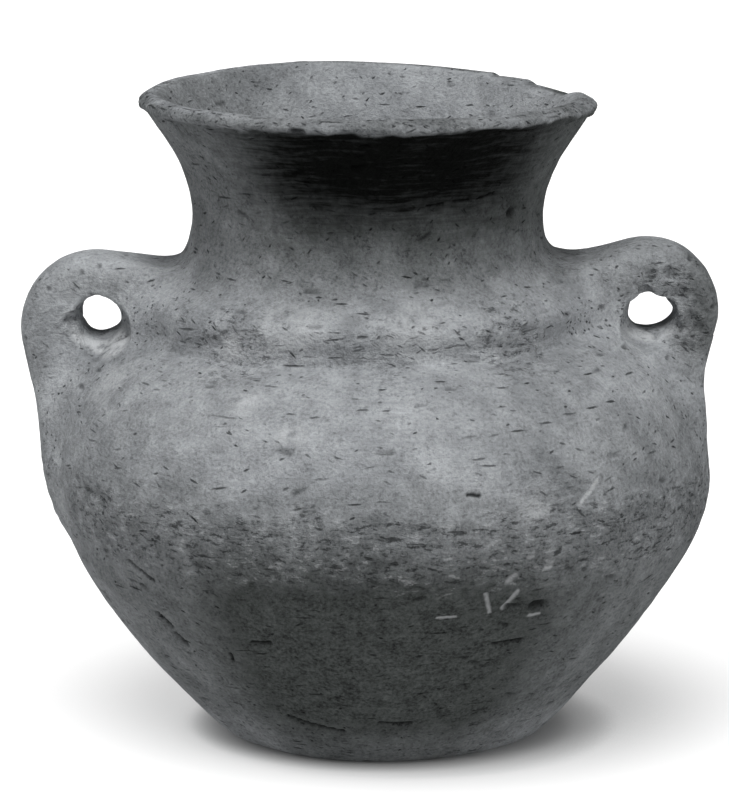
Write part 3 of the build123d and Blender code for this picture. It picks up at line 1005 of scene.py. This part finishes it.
class JAR_OT_lugs(bpy.types.Operator):
    """Build both lugs"""

    bl_idname = "jar.lugs"
    bl_label = "Lugs"

    def execute(self, context):
        shape, work = context.scene.jar_shape, context.scene.jar_handwork
        body = body_line(shape, MM)
        neck = neck_line(shape, MM)
        opening = shape.opening[1]
        body_field = Outline(np.concatenate([[[-0.01, 0.0]], body, [[-0.01, opening]]]))
        under = [[-0.01, 0.09], [shape.ridge[0], 0.09]]
        neck_field = Outline(np.concatenate([under, neck, [[-0.01, shape.lip[1]]]]))
        for lug, name, node in (
            (context.scene.jar_left_lug, "left_lug_clay", "left_lug"),
            (context.scene.jar_right_lug, "right_lug_clay", "right_lug"),
        ):
            solid = LugSolid(lug, shape, body_field, neck_field)
            ends = sorted((lug.side * LUG_INNER, lug.side * (lug.ear[0] + lug.ear_radius + 3 * MM)))
            deep = lug.half_thickness + 2 * lug.spread + lug.blend + lug.face_blend + 2 * MM
            low = (ends[0], -deep, lug.root[1] - lug.root_radius - lug.blend - 2 * MM)
            high = (ends[1], deep, LUG_TOP)
            points, faces, away = skin(solid, low, high, LUG_PITCH)
            # Beside the wall the clay follows the wall's handwork, so that its edge stays under the wall
            beside = 1 - ease(solid.pot(points), 0.1 * MM, 2 * MM)
            away = away + (slope_of(solid.pot, points) - away) * beside[:, None]
            away = away / np.linalg.norm(away, axis=-1)[:, None]
            height, hollow_shade = handwork(points, away, shape, work)
            points = points + away * height[:, None]
            free = ease(solid.pot(points), 0.5 * MM, 7 * MM)
            masks = {"hollow_shade": hollow_shade, "lug": np.ones(len(points))}
            masks |= tones(points, 0, free, solid.sill(points), shape)
            make_piece(context, name, node, points, faces.tolist(), masks)
        return {"FINISHED"}


# ---------------------------------------------------------------- material

CLAY = "straw_tempered_earthenware"
LIP_SHADE_TURN = radians(8)  # middle of the painted shade under the lip, from the front to the right

# Burnt straw slits finer than the hollows: length and width of the cells they lie in, in millimetres, the
# share of the cells that hold one, and the slope in degrees
SLITS = (
    (6.5, 0.90, 0.040, 3),
    (4.8, 0.85, 0.045, -12),
    (3.6, 0.80, 0.050, 24),
    (11.0, 0.95, 0.020, -3),
    (4.8, 0.80, 0.025, 42),
    (2.2, 0.90, 0.035, -35),
)


def add_node(tree, kind, inputs, **settings):
    """Adds one shader node and gives its outputs. Settings are its own properties; inputs are values or
    other nodes' sockets, in the order of its sockets or by their name or number."""
    node = tree.nodes.new("ShaderNode" + kind)
    for name, value in settings.items():
        setattr(node, name, value)
    for name, value in inputs.items() if isinstance(inputs, dict) else enumerate(inputs):
        if isinstance(value, bpy.types.NodeSocket):
            tree.links.new(value, node.inputs[name])
        else:
            node.inputs[name].default_value = value
    return node.outputs


class JAR_OT_clay(bpy.types.Operator):
    """Make the clay material"""

    bl_idname = "jar.clay"
    bl_label = "Clay"

    def execute(self, context):
        fired_clay(context.scene.jar_clay)
        return {"FINISHED"}


def fired_clay(clay):
    """Earthenware tempered with chopped straw, built by hand, wiped smooth while wet and fired low in an
    open fire, never glazed. The eye sees a dull grey ground, darker where smoke reached it, fine grit,
    level wiping marks, crumpled clay round the belly, and dark slits where straw burnt out. Shade and
    highlights are painted into the colour too: near-black shade under the lip, shade below the belly, on the
    lugs, towards the sides and inside the mouth, shade in hollows, slits, pits and crumb gaps, and highlights
    on crests, the ridge's top and the eyes' lower sides."""
    material = bpy.data.materials.new(CLAY)
    material.use_nodes = True
    tree = material.node_tree
    tree.nodes.clear()
    add = partial(add_node, tree)
    times, times_plus = {"operation": "MULTIPLY"}, {"operation": "MULTIPLY_ADD"}
    most = {"operation": "MAXIMUM"}
    smooth = {"interpolation_type": "SMOOTHSTEP"}
    names = ("hollow_shade", "smoke_and_shade", "lip_shade", "crumpled", "cracked", "rubbed_and_lit", "free", "lug")
    masks = {name: add("Attribute", (), attribute_name=name)["Fac"] for name in names}

    # Coordinates that run round the jar, up it and out of it, and on a lug along its face
    place = add("TexCoord", ())["Object"]
    east, north, up = add("SeparateXYZ", (place,))
    turn = add("Math", (north, east), operation="ARCTAN2")[0]
    arc = add("Math", (turn, 60 * MM), **times)[0]
    radius = add("VectorMath", (place, (1, 1, 0)), **times)[0]
    radius = add("VectorMath", (radius,), operation="LENGTH")["Value"]
    drift = add("TexNoise", {"Vector": place, "Scale": 1 / (16 * MM), "Detail": 1})[0]
    level = add("Math", (drift, 3 * MM, up), **times_plus)[0]
    round_jar = add("CombineXYZ", (arc, level, radius))[0]
    over_lug = add("CombineXYZ", (east, level, north))[0]
    wound = add("Mix", {0: masks["lug"], 4: round_jar, 5: over_lug}, data_type="VECTOR")[1]

    # Broad mottling, blotches, specks and grit, from 17 mm down to 0.8 mm, and wiping marks 0.8 mm apart
    mottle, blotch, speckle, grain = (
        add("TexNoise", {"Vector": place, "Scale": 1 / (width * MM), "Detail": detail, "Roughness": rough})[0]
        for width, detail, rough in ((17, 5, 0.62), (4.5, 4, 0.65), (1.6, 3, 0.65), (0.8, 3, 0.75))
    )
    wiped = add("VectorMath", (wound, (1 / (13 * MM), 1 / (0.8 * MM), 1 / (2.5 * MM))), **times)[0]
    wiping = add("TexNoise", {"Vector": wiped, "Scale": 1, "Detail": 3, "Roughness": 0.6})[0]

    # Every mark is looked up from a place that is shaken by up to half a millimetre, so that no edge is clean
    shaken = add("TexNoise", {"Vector": place, "Scale": 1 / (1.1 * MM), "Detail": 3})[1]
    shake = add("VectorMath", (shaken, (MM, MM, MM), (-MM / 2, -MM / 2, -MM / 2)), **times_plus)[0]
    near_place = add("VectorMath", (shake, (0.7, 0.7, 0.7), place), **times_plus)[0]
    ragged = add("VectorMath", (shake, (0.9, 0.35, 0.35), wound), **times_plus)[0]

    # Burnt straw slits: some cells of a stretched and turned lattice hold one, and more do where the clay
    # is cracked
    slits = 0.0
    for long, wide, share, slope in SLITS:
        turned = add("VectorRotate", {"Vector": ragged, "Angle": radians(slope)}, rotation_type="Z_AXIS")[0]
        scale = (1 / (long * MM), 1 / (wide * MM), 1 / (wide * MM))
        cells = add("VectorMath", (turned, scale, (slope, slope, slope)), **times_plus)[0]
        cell = add("TexVoronoi", {"Vector": cells, "Scale": 1})
        draw, strength, _ = add("SeparateColor", (cell["Color"],))
        chance = add("Math", (masks["cracked"], 4 * share, share), **times_plus)[0]
        held = add("Math", (draw, chance), operation="LESS_THAN")[0]
        slit = add("MapRange", (cell["Distance"], 0.14, 0.4, 1, 0), **smooth)[0]
        slit = add("Math", (slit, held), **times)[0]
        depth = add("MapRange", (strength, 0, 1, 0.35, 1))[0]
        slit = add("Math", (slit, depth), **times)[0]
        slits = add("Math", (slits, slit), **most)[0]

    # Marks of the photographed front: near each rod, out to its half width
    laid = {}
    for name, marks in (("dark", DARK_MARKS), ("pale", PALE_MARKS)):
        laid[name] = 0.0
        for centre, heading, out, half, width, _ in rods(marks, bpy.context.scene.jar_shape):
            apart = add("VectorMath", (near_place, centre), operation="SUBTRACT")[0]
            lift = add("VectorMath", (apart, out), operation="DOT_PRODUCT")["Value"]
            apart = add("VectorMath", (lift, -FLATTENED * out, apart), **times_plus)[0]
            slide = add("VectorMath", (apart, heading), operation="DOT_PRODUCT")["Value"]
            slide = add("Clamp", (slide, -half, half))[0]
            foot = add("VectorMath", {0: heading, "Scale": slide}, operation="SCALE")[0]
            gap = add("VectorMath", (apart, foot), operation="DISTANCE")["Value"]
            near = add("MapRange", (gap, 0.1 * width, 1.1 * width, 1, 0), **smooth)[0]
            laid[name] = add("Math", (laid[name], near), **most)[0]

    # Crumpled clay: crumbs 2.4 mm by 1.4 mm, with painted shade where they part and a painted highlight on
    # the crests of some patches
    crumb_place = add("VectorMath", (ragged, (1 / (2.4 * MM), 1 / (1.4 * MM), 1 / (1.8 * MM))), **times)[0]
    crumb = add("TexNoise", {"Vector": crumb_place, "Scale": 1, "Detail": 4, "Roughness": 0.7})[0]
    crumb_gap_shade = add("MapRange", (crumb, 0.48, 0.36, 0, 1), **smooth)[0]
    some = add("MapRange", (blotch, 0.43, 0.55, 0, 1), **smooth)[0]
    crest_highlight = add("MapRange", (crumb, 0.55, 0.63, 0, 1), **smooth)[0]
    crest_highlight = add("Math", (crest_highlight, some), **times)[0]
    parts = (crumb, crumb_gap_shade, crest_highlight)
    dome, crumb_gap_shade, crest_highlight = (add("Math", (part, masks["crumpled"]), **times)[0] for part in parts)

    # Ground: mottled clay, the lugs' a little lighter, then smoke with painted shade, and the painted shade
    # under the lip, with grainy edges
    share = add("MapRange", (mottle, 0.28, 0.72, 0, 1), **smooth)[0]
    share = add("Math", (masks["free"], 0.45, share), **times_plus)[0]
    ground = add("Mix", {0: share, 6: (*clay.dark, 1), 7: (*clay.light, 1)}, data_type="RGBA")[2]
    for name, colour, streaks in (("smoke_and_shade", clay.smoked_and_shaded, 0.0), ("lip_shade", clay.lip_shade, 0.9)):
        grainy = add("Math", (speckle, 0.5, masks[name]), **times_plus)[0]
        grainy = add("Math", (wiping, streaks, grainy), **times_plus)[0]
        share = add("MapRange", (grainy, 0.27 + streaks / 2, 1.2 + streaks / 2, 0, 1))[0]
        ground = add("Mix", {0: share, 6: ground, 7: (*colour, 1)}, data_type="RGBA")[2]

    # Tone: every noise lightens and darkens the ground by its share, more so under smoke and painted shade
    tone = 0.0
    for value, weight in ((grain, 0.9), (speckle, 0.75), (blotch, 0.75), (wiping, 0.34)):
        centred = add("Math", (value, 0.5), operation="SUBTRACT")[0]
        tone = add("Math", (centred, weight, tone), **times_plus)[0]
    contrast = add("Math", (masks["smoke_and_shade"], 1.1, 1), **times_plus)[0]
    tone = add("Math", (tone, contrast, 1), **times_plus)[0]
    ground = add("VectorMath", (ground, tone), **times)[0]

    # Painted shade in straw hollows, slits, crumb gaps and dark marks darkens the ground; then the painted
    # highlight on crests, the pale marks and the rubbed and lit places lighten it, each by its strongest mask
    patchy = add("MapRange", (blotch, 0.32, 0.6, 0, 1), **smooth)[0]
    rubbed_and_lit = add("Math", (masks["rubbed_and_lit"], patchy), **times)[0]
    painted_shades = ((masks["hollow_shade"], 0.7), (slits, 1), (crumb_gap_shade, 0.85), (laid["dark"], 1))
    lights = ((crest_highlight, 0.36), (laid["pale"], 0.55), (rubbed_and_lit, 1))
    for parts, full, colour, blend in (
        (painted_shades, 0.85, clay.hollow_shade, "MULTIPLY"),
        (lights, 0.75, clay.pale, "MIX"),
    ):
        share = 0.0
        for mask, weight in parts:
            mask = add("Math", (mask, weight), **times)[0]
            share = add("Math", (share, mask), **most)[0]
        share = add("Math", (share, full), **times)[0]
        ground = add("Mix", {0: share, 6: ground, 7: (*colour, 1)}, data_type="RGBA", blend_type=blend)[2]

    # Relief too fine for the mesh, in millimetres
    relief = 0.0
    for value, height in (
        (grain, 0.34), (speckle, 0.48), (blotch, 0.6), (wiping, 0.1), (dome, 1.5), (slits, -0.4),
    ):
        relief = add("Math", (value, height, relief), **times_plus)[0]
    bump = add("Bump", {"Height": relief, "Distance": MM})[0]
    surface = {"Base Color": ground, "Roughness": 0.9, "Specular IOR Level": 0.04, "Normal": bump}
    shader = add("BsdfPrincipled", surface)[0]
    add("OutputMaterial", (shader,))


# ---------------------------------------------------------------- stage

FRAME_PIXELS = (729, 800)
SENSOR = 36.0
FLOOR_HALF = 5.0  # half the width of the floor, in metres
FRONT_SIZE, SHEET_SIZE = radians(50), radians(30)  # apparent sizes of the front light and of the side sheets


class JAR_OT_studio(bpy.types.Operator):
    """Set up the floor, the lights and the camera"""

    bl_idname = "jar.studio"
    bl_label = "Studio"

    def execute(self, context):
        studio = context.scene.jar_studio
        self.floor(context)
        self.light(context, studio)
        self.camera(context, studio)
        context.scene.view_settings.view_transform = "Standard"
        return {"FINISHED"}

    def floor(self, context):
        """A level white sheet that glows: to the camera it glows white where it is open to the room at the
        front left, and less where the jar stands close over it, which paints its shadow; to other rays it
        glows weakly and lights the jar from below."""
        mesh = bpy.data.meshes.new("studio_floor")
        corners = [(x * FLOOR_HALF, y * FLOOR_HALF, 0) for x, y in ((-1, -1), (1, -1), (1, 1), (-1, 1))]
        mesh.from_pydata(corners, [], [(0, 1, 2, 3)])
        sheet = bpy.data.objects.new("studio_floor", mesh)
        context.collection.objects.link(sheet)
        material = bpy.data.materials.new("matt_white_paper")
        material.use_nodes = True
        tree = material.node_tree
        tree.nodes.clear()
        add = partial(add_node, tree)
        rays = add("LightPath", ())
        seen = rays["Is Camera Ray"]
        for other in ("Is Glossy Ray", "Is Transmission Ray"):
            seen = add("Math", (seen, rays[other]), operation="MAXIMUM")[0]
        paper = add("BsdfDiffuse", ((0.5, 0.5, 0.5, 1),))[0]

        # Painted shadow: openness to the room at the front left, then to the left close by, then at the
        # foot's edge, dims the glow
        lean = add("CombineXYZ", (-0.4, -0.35, 1.0))[0]
        open_room = add("AmbientOcclusion", {"Distance": 0.16, "Normal": lean}, samples=8)["AO"]
        shade = add("Math", (open_room, 0.6), operation="POWER")[0]
        lean_gap = add("CombineXYZ", (-0.7, 0.0, 1.0))[0]
        open_gap = add("AmbientOcclusion", {"Distance": 0.016, "Normal": lean_gap}, samples=8)["AO"]
        gap = add("MapRange", (open_gap, 0, 0.75, 0, 0.78))[0]
        touch = add("AmbientOcclusion", {"Distance": 0.007}, samples=8)["AO"]
        touch = add("MapRange", (touch, 0.05, 0.8, 0, 1))[0]
        gap = add("Math", (gap, touch), operation="MULTIPLY")[0]
        glow_with_painted_shadow = add("Math", (shade, gap), operation="MULTIPLY")[0]
        strength = add("Mix", {0: seen, 2: 0.3, 3: glow_with_painted_shadow})[0]
        glow = add("Emission", {"Strength": strength})[0]
        both = add("AddShader", (paper, glow))[0]
        add("OutputMaterial", (both,))
        mesh.materials.append(material)

    def light(self, context, studio):
        """A wide soft light from above the front, a weak one from the front right, white sheets far back on
        both sides, and weak light from all round. A light's turn is from the front to the right."""
        for name, height, turn, size, power in (
            ("main_light", studio.main_height, studio.main_turn, studio.main_size, studio.main_power),
            ("front_light", studio.front_height, studio.front_turn, FRONT_SIZE, studio.front_power),
            ("left_sheet", studio.left_height, -studio.side_turn, SHEET_SIZE, studio.left_power),
            ("right_sheet", studio.right_height, studio.side_turn, SHEET_SIZE, studio.right_power),
        ):
            lamp = bpy.data.lights.new(name, "SUN")
            lamp.energy = power
            lamp.angle = size
            holder = bpy.data.objects.new(name, lamp)
            holder.location = Vector((cos(height) * sin(turn), -cos(height) * cos(turn), sin(height)))
            holder.rotation_euler = holder.location.to_track_quat("Z", "Y").to_euler()
            context.collection.objects.link(holder)
        world = bpy.data.worlds.new("studio_room")
        world.use_nodes = True
        tree = world.node_tree
        tree.nodes.clear()
        seen = add_node(tree, "LightPath", ())["Is Camera Ray"]
        fill = add_node(tree, "Mix", {0: seen, 2: studio.fill, 3: 1})[0]
        sky = add_node(tree, "Background", {"Color": (1, 1, 1, 1), "Strength": fill})[0]
        add_node(tree, "OutputWorld", (sky,))
        context.scene.world = world

    def camera(self, context, studio):
        """A long lens at the photograph's distance and height. The shift puts the middle of the jar on its
        pixel."""
        lens = bpy.data.cameras.new("studio_camera")
        longest = max(FRAME_PIXELS)
        lens.sensor_width = SENSOR
        lens.lens = SENSOR * studio.distance * studio.scale / longest
        lens.shift_x = (FRAME_PIXELS[0] / 2 - studio.middle_x) / longest
        lens.shift_y = (studio.middle_y - FRAME_PIXELS[1] / 2) / longest
        lens.clip_end = 100.0
        view = bpy.data.objects.new("studio_camera", lens)
        away = Vector((0, -cos(studio.elevation), sin(studio.elevation)))
        view.location = Vector((0, 0, studio.middle)) + away * studio.distance
        view.rotation_euler = away.to_track_quat("Z", "Y").to_euler()
        context.collection.objects.link(view)
        context.scene.camera = view


class JAR_PT_panel(bpy.types.Panel):
    """Buttons for each group of pieces"""

    bl_label = "Water Jar"
    bl_idname = "JAR_PT_panel"
    bl_space_type = "VIEW_3D"
    bl_region_type = "UI"
    bl_category = "Water Jar"

    def draw(self, context):
        for operator in OPERATORS:
            self.layout.operator(operator.bl_idname)


GROUPS = {
    "jar_shape": JarShape,
    "jar_left_lug": JarLug,
    "jar_right_lug": JarLug,
    "jar_handwork": JarHandwork,
    "jar_clay": JarClay,
    "jar_studio": JarStudio,
}
OPERATORS = (
    JAR_OT_studio, JAR_OT_clay, JAR_OT_floor_slab, JAR_OT_walls, JAR_OT_neck, JAR_OT_lip, JAR_OT_lugs,
)
CLASSES = (*dict.fromkeys(GROUPS.values()), *OPERATORS, JAR_PT_panel)


def register():
    """Registers the classes and hangs the settings on the scene."""
    for item in CLASSES:
        bpy.utils.register_class(item)
    for name, group in GROUPS.items():
        setattr(bpy.types.Scene, name, PointerProperty(type=group))


def unregister():
    """Takes the settings and the classes away again."""
    for name in GROUPS:
        delattr(bpy.types.Scene, name)
    for item in reversed(CLASSES):
        bpy.utils.unregister_class(item)


# Sizes of the right lug that differ from the left one's, in millimetres
RIGHT_LUG = {
    "ear": (63.3, 100.0),
    "ear_radius": 16.4,
    "root": (64.0, 77.0),
    "root_radius": 11.3,
    "web": (48.0, 99.3),
    "web_blend": 9.0,
    "eye": (63.4, 99.7),
    "eye_radii": (4.9, 4.4),
    "chip": (62.5, 104.9),
    "chip_radius": 1.5,
}


def set_lugs(scene):
    """The left lug keeps the defaults. The right one is a little smaller and higher, and its root is
    shorter."""
    scene.jar_left_lug.side = -1
    right = scene.jar_right_lug
    for name, size in RIGHT_LUG.items():
        setattr(right, name, np.multiply(size, MM))
    right.sill = 0.7


def main():
    """Builds the jar and its studio."""
    register()
    set_lugs(bpy.context.scene)
    bpy.ops.jar.studio()
    bpy.ops.jar.clay()
    bpy.ops.jar.floor_slab()
    bpy.ops.jar.walls()
    bpy.ops.jar.neck()
    bpy.ops.jar.lip()
    bpy.ops.jar.lugs()


if __name__ == "__main__":
    main()
